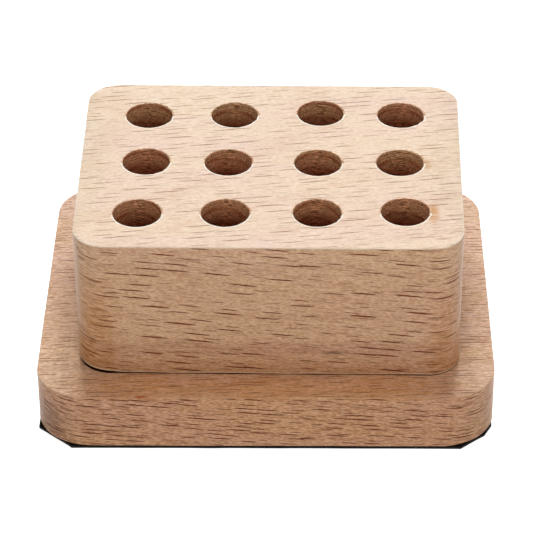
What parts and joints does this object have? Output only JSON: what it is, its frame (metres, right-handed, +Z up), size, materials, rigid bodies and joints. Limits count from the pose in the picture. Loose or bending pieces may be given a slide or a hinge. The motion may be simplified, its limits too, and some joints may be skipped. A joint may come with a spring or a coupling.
{
  "type": "tool storage caddy",
  "caption": "Beech block with a grid of upright round holes for hobby tools, screwed onto a larger rounded beech base plate with a thin black anti-slip sheet.",
  "frame": {"origin": "on the table, under the middle of the base plate, at the underside of the black sheet", "axes": "+X right along the long side and the grain, +Y from the front to the back, +Z up out of the tool holes"},
  "size_m": [0.12, 0.1, 0.0568],
  "materials": {
    "beech": "sanded, with a thin satin oil finish",
    "black_sheet": "matt, fine textured",
    "screw_steel": "zinc plated, semi-bright"
  },
  "bodies": {
    "root": {"tool_block": "beech", "base_plate": "beech", "anti_slip_sheet": "black_sheet", "screw_front_left": "screw_steel", "screw_front_right": "screw_steel", "screw_back_left": "screw_steel", "screw_back_right": "screw_steel"}
  },
  "joints": []
}
